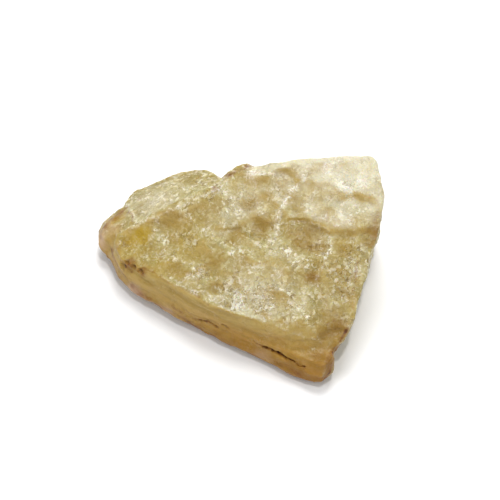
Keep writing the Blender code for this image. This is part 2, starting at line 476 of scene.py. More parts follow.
@dataclass(frozen=True)
class BrokenStone:
    """The marks that show on the stone in the photograph."""

    # Raised whitish veins and rims
    veins: tuple[Line, ...] = (
        Line(
            ((308, 168), (303, 178), (296, 188), (286, 198), (280, 207), (277, 218), (277, 234)),
            0.7,
            1.4,
        ),
        Line(((277, 222), (286, 224), (296, 221), (308, 221), (318, 226), (327, 229)), 0.4, 1.1),
        Line(((327, 229), (330, 224), (334, 218)), 0.35, 1.2),
        Line(((327, 229), (330, 244), (328, 255), (320, 268), (313, 285)), 0.45, 1.1),
        Line(
            ((117, 233), (130, 228), (143, 222), (157, 217), (190, 203), (212, 191), (226, 177)),
            0.45,
            1.2,
        ),
        Line(((126, 205), (131, 210), (134, 215), (134, 221)), 0.5, 1.4),
        Line(((203, 293), (213, 300), (223, 307), (235, 312), (247, 316), (267, 318)), 0.45, 0.7),
        Line(((267, 318), (280, 325), (293, 333), (308, 338), (322, 343)), 0.4, 0.8),
        Line(((176, 284), (190, 289), (203, 293)), 0.4, 0.9),
        Line(((322, 300), (335, 290), (348, 290), (354, 300)), 0.5, 0.6),
        Line(((203, 287), (210, 283), (218, 287), (221, 296), (214, 301)), 0.35, 0.9),
        Line(((282, 298), (294, 303), (306, 316), (315, 333), (322, 342)), 0.45, 0.9),
        Line(((235, 262), (233, 275), (240, 285), (238, 300)), 0.4, 0.6),
        Line(((226, 178), (240, 186), (262, 188), (280, 196)), 0.4, 0.5),
    )
    # Frosted patches that only differ in colour, and painted highlights: the small glints and the
    # bright clusters on the lower middle and along the right edge are painted white
    frosted: tuple[Spot | Line, ...] = (
        Spot((254, 173), 2.4, 2.0),
        Spot((247, 176), 1.6, 1.3),
        Spot((322, 216), 1.8, 0.8),
        Spot((340, 221), 1.8, 1.1),
        Spot((351, 222), 2.0, 1.0),
        Spot((328, 168), 1.6, 1.9),
        Line(((338, 184), (342, 190), (348, 193)), 1.2, 1.9),
        Spot((363, 184), 2.2, 1.5),
        Line(((346, 156), (362, 155), (377, 160)), 1.0, 0.5),
        Spot((316, 190), 0.9, 1.5),
        Spot((309, 205), 2.2, 0.5),
        # Painted highlights: the bright sparkle cluster on the lower middle of the face
        Spot((239, 302), 2.0, 1.7),
        Spot((248, 294), 3.4, 0.7),
        Spot((260, 296), 2.8, 0.9),
        Spot((278, 273), 1.2, 1.2),
        Spot((299, 308), 2.2, 0.6),
        Spot((187, 276), 0.9, 1.4),
        Spot((221, 299), 1.5, 0.8),
        Spot((155, 203), 4.5, 0.5),
        Spot((222, 187), 2.4, 0.5),
        # Painted glints along the right edge, and single painted glints on the face
        Spot((365, 248), 1.2, 1.0),
        Spot((358, 273), 1.4, 0.9),
        Spot((203, 268), 1.0, 1.0),
        Spot((150, 237), 0.9, 0.8),
        Spot((192, 283), 2.6, 0.4),
    )
    # Shadowed, honey-brown hollows
    hollows: tuple[Spot, ...] = (
        Spot((262, 227), 3.4, 0.8),
        Spot((235, 236), 2.8, 0.7),
        Spot((303, 238), 4.2, 0.95),
        Spot((292, 234), 2.6, 0.7),
        Spot((312, 246), 2.8, 0.9),
        Spot((346, 236), 2.8, 0.5),
        Spot((345, 250), 2.6, 0.6),
        Spot((312, 278), 2.2, 1.0),
        Spot((283, 180), 2.8, 0.6),
        Spot((252, 204), 2.8, 0.6),
        Spot((172, 226), 4.5, 0.35),
        Spot((215, 266), 3.4, 0.6),
        Spot((240, 267), 2.6, 0.5),
        Spot((208, 212), 4.0, 0.4),
        Spot((295, 203), 2.4, 0.5),
        Spot((180, 270), 2.6, 0.5),
        Spot((290, 330), 2.4, 0.3),
        Spot((333, 319), 4.4, 0.8),
        Spot((215, 291), 1.8, 0.5),
    )
    # Deeper brown ones
    deep: tuple[Spot | Line, ...] = (
        Line(((324, 335), (333, 332), (342, 326)), 2.2, 0.5),
        Spot((322, 362), 4.6, 0.5),
        Line(((336, 350), (332, 357), (331, 367), (325, 378)), 1.7, 0.9),
        Line(((300, 372), (310, 378), (320, 381)), 1.5, 0.6),
        Spot((313, 278), 1.7, 0.45),
        Line(((312, 230), (321, 238), (324, 247)), 1.3, 0.35),
        Spot((332, 366), 3.0, 0.8),
        Spot((377, 232), 2.8, 0.8),
        Spot((378, 219), 2.2, 0.6),
        Spot((374, 243), 1.8, 0.5),
        Spot((130, 266), 2.0, 0.8),
        Spot((141, 272), 1.6, 0.6),
        Spot((112, 249), 1.4, 0.8),
        Spot((106, 226), 1.6, 0.5),
        Spot((118, 215), 2.0, 0.6),
        Spot((128, 213), 1.4, 0.5),
        Spot((292, 365), 2.6, 0.5),
        Spot((306, 372), 2.4, 0.4),
    )
    # Iron stain
    stains: tuple[Spot | Line, ...] = (
        Line(((141, 268), (147, 269), (158, 275), (168, 281), (178, 287), (192, 293)), 0.25, 0.6),
        Line(((193, 293), (200, 298), (209, 305)), 0.22, 0.5),
        Line(((133, 287), (139, 293), (149, 300)), 0.9, 0.6),
        Line(((144, 302), (152, 306), (157, 306)), 0.5, 0.65),
        Line(((156, 306), (162, 310), (169, 313)), 0.55, 1.0),
        Line(((172, 306), (177, 310), (182, 313)), 0.6, 0.55),
        Line(((181, 319), (190, 323), (198, 330)), 0.6, 0.5),
        Line(((193, 318), (200, 320), (208, 321), (213, 324), (217, 327)), 0.32, 0.8),
        Line(((222, 325), (226, 327), (229, 329)), 0.28, 1.0),
        Line(((229, 330), (240, 334), (252, 338)), 0.22, 0.45),
        Line(((264, 334), (272, 338), (279, 340), (287, 344)), 0.25, 0.5),
        Line(((254, 342), (259, 345), (263, 346)), 0.25, 1.0),
        Line(((263, 347), (268, 348), (275, 352), (280, 354), (286, 358)), 0.38, 1.4),
        Line(((286, 358), (290, 360), (294, 362)), 0.26, 1.2),
        Line(((296, 364), (300, 366), (304, 367)), 0.24, 1.1),
        Line(((290, 369), (302, 377), (314, 382)), 0.5, 0.6),
        Line(((333, 353), (333, 364), (330, 373), (325, 379)), 0.5, 0.8),
        Line(((360, 298), (356, 316), (348, 329), (340, 341)), 0.5, 0.9),
        Line(((357, 262), (356, 275), (353, 290)), 0.4, 0.5),
        Spot((333, 321), 0.35, 0.7),
        Spot((329, 324), 0.3, 0.7),
        Spot((341, 322), 0.3, 0.7),
        Spot((311, 376), 0.5, 0.5),
        Spot((323, 352), 0.4, 0.5),
        Line(((124, 265), (129, 263), (134, 267), (142, 273)), 1.1, 0.5),
        Spot((125, 266), 0.7, 1.2),
        Spot((129, 264), 0.6, 1.2),
        Spot((133, 267), 0.6, 1.2),
        Spot((137, 270), 0.7, 1.2),
        Spot((142, 273), 0.6, 1.1),
        Spot((132, 272), 0.45, 1.0),
        Spot((124, 271), 0.4, 1.0),
        Spot((111, 249), 0.6, 0.8),
        Line(((100, 236), (102, 230), (105, 225)), 0.8, 0.7),
        Line(((105, 225), (109, 221), (115, 216), (121, 212), (126, 208)), 0.6, 1.0),
        Line(((126, 211), (132, 214), (133, 221)), 0.4, 0.7),
        Spot((108, 223), 1.3, 0.6),
        Spot((114, 219), 1.0, 0.5),
        Spot((104, 229), 0.9, 0.6),
        Spot((113, 229), 0.7, 0.4),
        Spot((117, 249), 0.9, 0.4),
        Line(((224, 177), (232, 173), (240, 169), (247, 166)), 0.7, 0.6),
        Spot((139, 199), 1.0, 0.6),
        Spot((215, 189), 1.2, 0.5),
        Spot((181, 180), 0.8, 0.4),
        Line(((383, 222), (383, 232), (380, 241)), 0.8, 0.6),
    )
    # Tan, as on the front, though it looks up
    tanned: tuple[Spot, ...] = (
        Spot((110, 240), 4.0, 0.75),
        Spot((109, 226), 3.2, 0.8),
        Spot((119, 216), 2.4, 0.7),
        Spot((116, 256), 3.0, 0.6),
        Spot((318, 362), 5.0, 0.95),
        Spot((325, 347), 3.6, 0.8),
        Spot((300, 350), 4.4, 0.8),
        Spot((340, 335), 2.6, 0.6),
    )
    ochre: tuple[Spot, ...] = (
        Spot((140, 235), 3.0, 0.85),
        Spot((130, 241), 3.4, 0.7),
        Spot((185, 250), 4.6, 0.28),
        Spot((133, 254), 5.0, 0.35),
        Spot((163, 268), 4.0, 0.35),
        Spot((118, 218), 1.6, 0.6),
        Spot((345, 247), 3.0, 0.4),
    )
    rose: tuple[Spot, ...] = (
        Spot((101, 240), 2.4, 0.9),
        Spot((112, 228), 2.6, 0.4),
        Spot((105, 256), 2.2, 0.5),
        Spot((113, 268), 2.4, 0.6),
        Spot((120, 282), 3.4, 1.0),
        Spot((134, 293), 3.2, 1.0),
        Spot((150, 303), 2.6, 0.7),
        Spot((168, 312), 2.4, 0.5),
        Spot((262, 356), 2.4, 0.35),
        Spot((252, 170), 2.4, 0.25),
    )
    # Pale, cloudy crystal, and painted light: the glow where the upper edge is thin and backlit
    pale: tuple[Spot, ...] = (
        Spot((345, 165), 13.0, 1.0),
        Spot((300, 160), 10.0, 0.9),
        Spot((322, 160), 6.0, 1.0),
        Spot((268, 164), 5.0, 0.7),
        Spot((375, 200), 7.0, 0.7),
        Spot((372, 168), 5.0, 1.0),
        Spot((340, 205), 6.0, 0.6),
        Spot((352, 196), 4.5, 1.0),
        Spot((275, 185), 5.0, 0.3),
        Spot((250, 201), 6.0, 0.55),
        Spot((337, 218), 4.2, 1.0),
        Spot((318, 212), 4.0, 0.7),
        Spot((265, 192), 7.0, 0.35),
        Spot((225, 215), 5.0, 0.3),
        Spot((155, 200), 8.0, 0.3),
        # Painted sheen on the lower middle of the face
        Spot((260, 298), 9.0, 0.4),
    )
    # Where the broken surface sparkles most: glossier there, and painted glints and specks gather there
    gloss_and_sparkle: tuple[Spot, ...] = (
        Spot((240, 298), 3.4, 1.2),
        Spot((261, 296), 4.2, 1.3),
        Spot((285, 303), 3.2, 0.6),
        Spot((226, 288), 2.8, 0.6),
        Spot((345, 272), 3.8, 1.2),
        Spot((352, 253), 2.6, 0.8),
        Spot((343, 290), 3.0, 0.8),
        Spot((215, 192), 3.0, 0.7),
        Spot((243, 203), 3.6, 0.6),
        Spot((205, 270), 2.4, 0.7),
        Spot((350, 187), 4.0, 0.6),
        Spot((272, 250), 3.4, 0.5),
        Spot((315, 262), 3.0, 0.5),
        Spot((190, 240), 3.0, 0.4),
    )
    # Cut into the surface
    cracks: tuple[Line, ...] = (
        Line(((263, 347), (268, 348), (275, 352), (280, 354), (286, 358)), 0.3),
        Line(((287, 358), (290, 360), (294, 362)), 0.2, 0.6),
        Line(((296, 364), (300, 366), (304, 367)), 0.2, 0.6),
        Line(((200, 320), (208, 321), (213, 324), (217, 327)), 0.3, 0.5),
        Line(((222, 325), (229, 329)), 0.25, 0.6),
    )
    pits: tuple[Spot, ...] = (
        Spot((122, 266), 0.8),
        Spot((127, 262), 0.6),
        Spot((133, 267), 0.8),
        Spot((140, 271), 0.7),
    )


@dataclass(frozen=True)
class Chips:
    """Broken cells of one size, which meet in sharp crests. Millimetres.

    The spread takes each cell's middle to a noise cell of its own, so that each leans its own way.
    """

    size: float
    depth: float
    tilt: float
    shift: Triple
    spread: float = 37.0

    def depths(self, places: np.ndarray) -> np.ndarray:
        """Breaks the surface into cells.

        Each cell is a shallow dish on a tilted plane of its own, and the lowest of the
        nearest ones is what is left.

        Args:
            places: The places, in millimetres.

        Returns:
            How far each place is lowered, in millimetres.
        """
        shift = Vector(self.shift)
        lowest = np.empty(len(places))
        for index, place in enumerate(places):
            here = Vector(place) / self.size + shift
            lowest[index] = min(self._dish(here, *cell) for cell in zip(*noise.voronoi(here)))
        return self.depth * (1.0 - np.clip(lowest, 0.0, 1.0))

    def _dish(self, here: Vector, distance: float, middle: Vector) -> float:
        """The level of one cell's dish at a place."""
        lean = noise.cell_vector(middle * self.spread)
        return distance * distance + (here - middle).dot(lean) * self.tilt


@dataclass(frozen=True)
class Layering:
    """Layers of one fineness along the front. Millimetres."""

    height: float
    length: float
    thickness: float
    shift: float

    def heights(self, runs: np.ndarray, levels: np.ndarray) -> np.ndarray:
        """How far the layers stand out.

        Args:
            runs: How far along the front each place is, in millimetres.
            levels: How far up it is, in millimetres.

        Returns:
            One height for each place, in millimetres.
        """
        places = (
            Vector((run / self.length, level / self.thickness, self.shift))
            for run, level in zip(runs, levels)
        )
        return self.height * np.array([noise.noise(place) for place in places])


@dataclass(frozen=True)
class EvenNoise:
    """Even noise over the stone, of a size in millimetres."""

    size: float
    detail: float = 3.0
    roughness: float = 0.6

    def over(self, nodes: Nodes, place: Value) -> Value:
        """The noise at each place, from 0 to 1.

        Args:
            nodes: The material's nodes.
            place: The places.

        Returns:
            The noise's value; its node gives a colour as well.
        """
        inputs = {
            "Vector": place,
            "Scale": 1.0 / (self.size * MM),
            "Detail": self.detail,
            "Roughness": self.roughness,
        }
        return nodes.add("ShaderNodeTexNoise", None, inputs)


@dataclass(frozen=True)
class Bands:
    """Between which values of a noise or a coat the look turns over."""

    broad: Pair = (0.38, 0.62)
    cluster: Pair = (0.50, 0.62)
    cloud: Pair = (0.38, 0.64)
    fleck: Pair = (0.46, 0.62)
    bright: Pair = (0.78, 0.88)
    fibre_shade: Pair = (0.15, 0.42)
    dark_specks: Pair = (0.38, 0.45)
    light_specks: Pair = (0.55, 0.62)
    layers: Pair = (0.42, 0.60)
    cells: Pair = (0.15, 0.45)
    ridges: Pair = (0.62, 0.85)
    behind: Pair = (0.28, 0.31)
    glint: Pair = (0.66, 0.70)
    smooth: Pair = (0.30, 0.55)
    heart: Pair = (0.45, 0.95)


@dataclass(frozen=True)
class Cover:
    """How strongly each colour covers what is under it, where its coat is full.

    Of a pair, the first always covers, and the second is what noise adds to it. Of three, the
    second is what bright fibres add, and the third what flecks add.
    """

    olive: float = 0.55
    cream: float = 0.95
    front: float = 0.95
    layers: float = 0.45
    front_dark: float = 0.35
    front_light: float = 0.2
    lowest: Pair = (0.2, 0.55)
    rose: float = 0.85
    hollow: Pair = (0.65, 0.25)
    deep: float = 0.9
    sunken: float = 0.5
    behind: Pair = (0.1, 0.55)
    behind_gloss: float = 0.15
    glint: Pair = (0.2, 0.55)
    lit_from_above: Pair = (0.3, 0.7)
    spark: Pair = (0.5, 0.5)
    web: float = 0.4
    web_grain: Triple = (0.2, 0.6, 0.2)
    veil_grain: Triple = (0.15, 0.45, 0.4)
    thread: Pair = (0.1, 0.5)
    thread_flecks: Pair = (0.5, 0.5)
    light_specks: float = 0.28
    stain: Pair = (0.3, 0.7)
    foot: Pair = (0.75, 0.25)


@dataclass(frozen=True)
class Spared:
    """How much of what is laid over it each coat holds back."""

    sunken_by_front: float = 0.5
    sunken_by_pale: float = 0.8
    behind_by_pale: float = 0.6
    behind_by_front: float = 0.7
    light_by_low: float = 0.8
    light_by_deep: float = 0.9
    light_by_front: float = 0.93
    light_by_ochre: float = 0.7
    veil_by_front: float = 0.5


def broken_by(cover: Pair, grain: Value) -> Value:
    """A cover that always has its first part, and its second where noise or a coat gives it."""
    return cover[0] + grain * cover[1]


def left_by(coat: Value, held_back: float) -> Value:
    """What a coat leaves of that which is laid over it."""
    return 1.0 - coat * held_back


@dataclass(frozen=True)
class Grain:
    """The noise that breaks up the colours, each from 0 to 1."""

    cloud: Value
    fleck: Value
    bright: Value
    fibre_shade: Value
    cluster: Value
    dark_specks: Value
    light_specks: Value

    def broken(self, cover: Triple) -> Value:
        """A cover broken up by bright fibres and by flecks."""
        return cover[0] + self.bright * cover[1] + self.fleck * cover[2]


@dataclass(frozen=True)
class CrystalFinish:
    """Cloudy pale yellow corundum: glossy and frosted by turns, see-through where it is thin.

    Sizes, depths and heights are in millimetres.
    """

    name: str = "cloudy yellow crystal"
    index: float = 1.77
    sheen: float = 0.08
    see_through: float = 0.22
    cloudiness: float = 0.4
    cloud_reach: Triple = (1.0, 0.75, 0.3)
    cloud_depth: float = 2.2
    absorption: tuple[float, float, float, float] = (0.93, 0.80, 0.42, 1.0)
    density: float = 160.0
    bands: Bands = Bands()
    cover: Cover = Cover()
    spared: Spared = Spared()

    # Noise
    broad: EvenNoise = EvenNoise(6.0)
    cluster: EvenNoise = EvenNoise(2.6)
    cloud: EvenNoise = EvenNoise(1.8, 4.0, 0.65)
    fleck: EvenNoise = EvenNoise(0.35)
    speck: EvenNoise = EvenNoise(0.2, 2.0)
    layer: EvenNoise = EvenNoise(1.1, 4.0)
    sway: EvenNoise = EvenNoise(0.9, 2.0, 0.5)
    patchiness: EvenNoise = EvenNoise(0.35, 2.0, 0.5)
    layer_stretch: float = 0.12
    cluster_noise: float = 0.7
    cluster_gloss: float = 0.5

    # What lies low, painted honey-brown: the hollows, which is partly painted shade, and painted shade
    # in the creases off the pale slab, with the swells taken off
    hollow_reach: float = 1.1
    relief_shade_share: float = 0.2

    # What is too small for the mesh; of a pair, the second is what gloss adds
    chip: float = 0.5
    chip_bend: float = 1.2
    chip_slope: float = 0.26
    chip_lean: Pair = (0.5, 2.0)
    fibre: float = 1.15
    fibre_height: float = 0.11
    fibre_strength: Pair = (0.8, 0.8)
    fleck_height: float = 0.021
    front_calm: float = 0.6

    # How rough it is, what smooth chips take away, and how unevenly
    roughness: float = 0.45
    smoothness: float = 0.35
    smooth_chips: Pair = (0.3, 0.7)
    unevenness: float = 0.25

    def material(self) -> bpy.types.Material:
        """Makes the material.

        Returns:
            The stone's material.
        """
        material = bpy.data.materials.new(self.name)
        material.use_nodes = True
        nodes = Nodes(material)
        shader = material.node_tree.nodes["Principled BSDF"]
        shader.inputs["IOR"].default_value = self.index
        shader.inputs["Specular IOR Level"].default_value = self.sheen
        shader.inputs["Transmission Weight"].default_value = self.see_through
        shader.inputs["Subsurface Weight"].default_value = self.cloudiness
        shader.inputs["Subsurface Radius"].default_value = self.cloud_reach
        shader.inputs["Subsurface Scale"].default_value = self.cloud_depth * MM
        place = nodes.add("ShaderNodeTexCoord", output="Object")
        bent = self._bent(nodes, place)
        cells = {"Vector": bent, "Scale": 1.0 / (self.chip * MM)}
        chips = nodes.add("ShaderNodeTexVoronoi", None, cells, "Color")
        fibres = self._fibres(nodes, place)
        links = material.node_tree.links
        links.new(self._colour(nodes, place, chips, fibres).socket, shader.inputs["Base Color"])
        links.new(self._roughness(nodes, place, chips).socket, shader.inputs["Roughness"])
        links.new(self._bump(nodes, place, bent, chips, fibres).socket, shader.inputs["Normal"])
        clear = {"Color": self.absorption, "Density": self.density}
        inside = nodes.add("ShaderNodeVolumeAbsorption", None, clear)
        links.new(inside.socket, material.node_tree.nodes["Material Output"].inputs["Volume"])
        return material

    def _bent(self, nodes: Nodes, place: Value) -> Value:
        """The places bent a little, so that chips come out curved and uneven.

        Args:
            nodes: The material's nodes.
            place: The places.

        Returns:
            The bent places.
        """
        noises = self.sway.over(nodes, place).other("Color")
        sway = nodes.vector("SUBTRACT", noises, (MIDDLE,) * 3)
        return nodes.vector("ADD", place, nodes.vector("MULTIPLY", sway, (self.chip_bend * MM,) * 3))

    def _fibres(self, nodes: Nodes, place: Value) -> Value:
        """Fine curling fibres, like those of crumpled foil.

        Args:
            nodes: The material's nodes.
            place: The places.

        Returns:
            From 0 between the fibres to 1 on them.
        """
        settings = {"noise_type": "RIDGED_MULTIFRACTAL", "normalize": False}
        inputs = {
            "Vector": place,
            "Scale": 1.0 / (self.fibre * MM),
            "Detail": 3.0,
            "Roughness": 0.6,
            "Offset": 1.0,
            "Gain": 1.5,
            "Distortion": 0.8,
        }
        return nodes.add("ShaderNodeTexNoise", settings, inputs) * 0.5

    def _strata(self, nodes: Nodes, place: Value) -> Value:
        """Thin layers that run along the front.

        Args:
            nodes: The material's nodes.
            place: The places.

        Returns:
            From 0 between the layers to 1 on them.
        """
        along = nodes.vector("DOT_PRODUCT", place, FRONT_RUN, output="Value")
        up = nodes.vector("DOT_PRODUCT", place, (0.0, 0.0, 1.0), output="Value")
        stretched = nodes.add("ShaderNodeCombineXYZ", None, {0: along * self.layer_stretch, 1: up})
        return nodes.rise(self.layer.over(nodes, stretched), self.bands.layers)

    def _grain(self, nodes: Nodes, place: Value, fibres: Value) -> Grain:
        """The noise that breaks up the colours, with specks where the stone sparkles.

        Args:
            nodes: The material's nodes.
            place: The places.
            fibres: The fibres.

        Returns:
            The noise of each kind.
        """
        bands = self.bands
        gathered = nodes.rise(self.cluster.over(nodes, place), bands.cluster) * self.cluster_noise
        # Painted sparkle: the specks gather where the stone is glossy
        cluster = gathered + nodes.painted(Coat.GLOSS) * self.cluster_gloss
        specks = self.speck.over(nodes, place)
        return Grain(
            cloud=nodes.rise(self.cloud.over(nodes, place), bands.cloud),
            fleck=nodes.rise(self.fleck.over(nodes, place), bands.fleck),
            bright=nodes.rise(fibres, bands.bright),
            # Painted shade between the fibres
            fibre_shade=nodes.fall(fibres, bands.fibre_shade),
            cluster=cluster,
            dark_specks=nodes.fall(specks, bands.dark_specks) * cluster,
            light_specks=nodes.rise(specks, bands.light_specks) * cluster,
        )

    def _hollows_and_crease_shade(self, nodes: Nodes) -> Value:
        """What lies low, from 0 to 1: the hollows, partly painted shade, and painted shade in the
        creases.

        Args:
            nodes: The material's nodes.

        Returns:
            The hollows, with painted shade in the creases added and the swells taken off.
        """
        # Painted shade: creases of the relief come out darker, and swells lighter
        swell = nodes.painted(Coat.SWELL) * self.relief_shade_share * (1.0 - nodes.painted(Coat.PALE))
        return (nodes.painted(Coat.HOLLOW) * self.hollow_reach - swell).clamped()

    def _colour(self, nodes: Nodes, place: Value, chips: Value, fibres: Value) -> Value:
        """The stone's colour, laid on coat by coat.

        Args:
            nodes: The material's nodes.
            place: The places.
            chips: The chips, each with a value of its own.
            fibres: The fibres.

        Returns:
            The colour.
        """
        grain = self._grain(nodes, place, fibres)
        low = self._hollows_and_crease_shade(nodes)
        colour = self._ground(nodes, place)
        colour = self._on_front(nodes, place, grain, colour)
        colour = self._in_patches(nodes, grain, low, colour)
        colour = self._on_chips(nodes, chips, grain, low, colour)
        return self._stained_and_shadowed(nodes, grain, self._frost_and_highlights(nodes, chips, grain, low, colour))

    def _ground(self, nodes: Nodes, place: Value) -> Value:
        """The crystal's own yellow, olive in the cells and cream where it is clouded; the cream is also
        painted light, the glow of the thin upper edge and the sheen on the lower middle.

        Args:
            nodes: The material's nodes.
            place: The places.

        Returns:
            The colour.
        """
        broad = nodes.rise(self.broad.over(nodes, place), self.bands.broad)
        colour = nodes.mix(Tint.SAND.rgba, Tint.HONEY.rgba, broad)
        in_cells = nodes.fall(nodes.painted(Coat.CRUMPLE), self.bands.cells)
        colour = nodes.mix(colour, Tint.OLIVE.rgba, in_cells * self.cover.olive)
        # Cream where it is clouded, and painted glow and sheen where the pale marks stand for light
        return nodes.mix(colour, Tint.CREAM.rgba, nodes.painted(Coat.PALE) * self.cover.cream)

    def _on_front(self, nodes: Nodes, place: Value, grain: Grain, colour: Value) -> Value:
        """Lays on the tan layers of the front, browner towards its foot.

        Args:
            nodes: The material's nodes.
            place: The places.
            grain: The noise that breaks up the colours.
            colour: The colour so far.

        Returns:
            The colour.
        """
        cover, shade = self.cover, nodes.painted(Coat.SHADE)
        tan = nodes.mix(Tint.STRAW.rgba, Tint.TAN.rgba, nodes.painted(Coat.BELOW))
        colour = nodes.mix(colour, tan, shade * cover.front)
        colour = nodes.mix(colour, Tint.UMBER.rgba, shade * self._strata(nodes, place) * cover.layers)
        colour = nodes.mix(colour, Tint.AMBER.rgba, shade * grain.dark_specks * cover.front_dark)
        colour = nodes.mix(colour, Tint.CREAM.rgba, shade * grain.light_specks * cover.front_light)
        lowest = shade * nodes.painted(Coat.LOWEST) * broken_by(cover.lowest, grain.cloud)
        return nodes.mix(colour, Tint.AMBER.rgba, lowest)

    def _in_patches(self, nodes: Nodes, grain: Grain, low: Value, colour: Value) -> Value:
        """Lays on pinkish and ochre patches, honey-brown hollows that are partly painted shade, and
        brown between the fibres, which is painted shade, and on dark specks.

        Args:
            nodes: The material's nodes.
            grain: The noise that breaks up the colours.
            low: What lies low.
            colour: The colour so far.

        Returns:
            The colour.
        """
        cover, shade = self.cover, nodes.painted(Coat.SHADE)
        colour = nodes.mix(colour, Tint.ROSE.rgba, nodes.painted(Coat.ROSE) * cover.rose)
        colour = nodes.mix(colour, Tint.OCHRE.rgba, nodes.painted(Coat.OCHRE))
        # Honey-brown hollows: partly the crystal's deeper tone, partly painted shade, with painted
        # shade in the creases
        colour = nodes.mix(colour, Tint.UMBER.rgba, low * broken_by(cover.hollow, grain.cloud))
        colour = nodes.mix(colour, Tint.AMBER.rgba, nodes.painted(Coat.DEEP) * cover.deep)
        # Painted shade: brown in the crevices between the raised fibres, with the dark specks added
        between = grain.fibre_shade * left_by(shade, self.spared.sunken_by_front)
        between = between * left_by(nodes.painted(Coat.PALE), self.spared.sunken_by_pale)
        between = between + grain.dark_specks * (1.0 - shade)
        return nodes.mix(colour, Tint.UMBER.rgba, between * cover.sunken)

    def _on_chips(self, nodes: Nodes, chips: Value, grain: Grain, low: Value, colour: Value) -> Value:
        """Lays on painted shade on some chips, and painted gold glints on others, stronger on the upper
        side where the light falls.

        Args:
            nodes: The material's nodes.
            chips: The chips, each with a value of its own.
            grain: The noise that breaks up the colours.
            low: What lies low.
            colour: The colour so far.

        Returns:
            The colour.
        """
        cover = self.cover
        # Painted shade: chips darkened as if turned from the light, beside the glints
        behind = broken_by(cover.behind, grain.cluster) + nodes.painted(Coat.GLOSS) * cover.behind_gloss
        behind = nodes.fall(chips, self.bands.behind) * behind
        behind = behind * left_by(nodes.painted(Coat.PALE), self.spared.behind_by_pale)
        behind = behind * left_by(nodes.painted(Coat.SHADE), self.spared.behind_by_front)
        colour = nodes.mix(colour, Tint.DUSK.rgba, behind)
        # Painted glints, stronger on faces that look up to the light
        lit_from_above = broken_by(cover.lit_from_above, nodes.painted(Coat.TOP))
        painted_glints = self._glint(nodes, chips, low) * broken_by(cover.glint, grain.cloud) * lit_from_above
        return nodes.mix(colour, Tint.GOLD.rgba, painted_glints)

    def _frost_and_highlights(self, nodes: Nodes, chips: Value, grain: Grain, low: Value, colour: Value) -> Value:
        """Lays on all that is white: veins and the web of ridges, and painted highlights: threads on
        the bright fibre crests, light specks where the stone sparkles, and sparks on the chips that
        catch the light.

        Args:
            nodes: The material's nodes.
            chips: The chips, each with a value of its own.
            grain: The noise that breaks up the colours.
            low: What lies low.
            colour: The colour so far.

        Returns:
            The colour.
        """
        cover = self.cover
        web = nodes.rise(nodes.painted(Coat.CRUMPLE), self.bands.ridges) * cover.web
        web = web * grain.broken(cover.web_grain)
        # Painted highlights: threads on the bright fibre crests, and light specks where the stone
        # sparkles
        threads = grain.bright * broken_by(cover.thread, grain.cloud)
        threads = threads * broken_by(cover.thread_flecks, grain.fleck)
        thin = (web + threads + grain.light_specks * cover.light_specks) * self._bare(nodes, low)
        veil = nodes.painted(Coat.VEIL) * grain.broken(cover.veil_grain)
        veil = veil * left_by(nodes.painted(Coat.SHADE), self.spared.veil_by_front)
        # Painted glints on the chips that catch the light, where the stone sparkles
        sparks = self._glint(nodes, chips, low) * grain.cluster * broken_by(cover.spark, grain.cloud)
        return nodes.mix(colour, Tint.FROST.rgba, (veil + thin + sparks).clamped())

    def _bare(self, nodes: Nodes, low: Value) -> Value:
        """Where nothing keeps the light off: not in a hollow, on the front or in the ochre.

        Args:
            nodes: The material's nodes.
            low: What lies low.

        Returns:
            How bare the stone is, from 0 to 1.
        """
        spared = self.spared
        bare = left_by(low, spared.light_by_low)
        bare = bare * left_by(nodes.painted(Coat.DEEP), spared.light_by_deep)
        bare = bare * left_by(nodes.painted(Coat.SHADE), spared.light_by_front)
        return bare * left_by(nodes.painted(Coat.OCHRE), spared.light_by_ochre)

    def _glint(self, nodes: Nodes, chips: Value, low: Value) -> Value:
        """The chips that are painted as catching the light."""
        return nodes.rise(chips, self.bands.glint) * self._bare(nodes, low)

    def _stained_and_shadowed(self, nodes: Nodes, grain: Grain, colour: Value) -> Value:
        """Lays on iron stain, rusty at its edges and nearly black at its heart, and the same browns as
        painted shadow along the foot and where the front turns under.

        Args:
            nodes: The material's nodes.
            grain: The noise that breaks up the colours.
            colour: The colour so far.

        Returns:
            The colour.
        """
        stain = nodes.painted(Coat.STAIN) * broken_by(self.cover.stain, grain.cloud)
        # Painted shadow at the foot and where the front turns under, laid on with the iron stain
        dark = stain + nodes.painted(Coat.FOOT) * broken_by(self.cover.foot, grain.fleck)
        colour = nodes.mix(colour, Tint.RUST.rgba, dark.clamped())
        return nodes.mix(colour, Tint.BARK.rgba, nodes.rise(dark, self.bands.heart))

    def _roughness(self, nodes: Nodes, place: Value, chips: Value) -> Value:
        """Glossy chips among frosted ones, and more of them where the stone sparkles.

        Args:
            nodes: The material's nodes.
            place: The places.
            chips: The chips, each with a value of its own.

        Returns:
            The roughness.
        """
        gloss_and_sparkle = nodes.painted(Coat.GLOSS)
        smooth = nodes.fall(chips, self.bands.smooth) * broken_by(self.smooth_chips, gloss_and_sparkle)
        uneven = self.patchiness.over(nodes, place) - MIDDLE
        return (self.roughness - smooth * self.smoothness + uneven * self.unevenness).clamped()

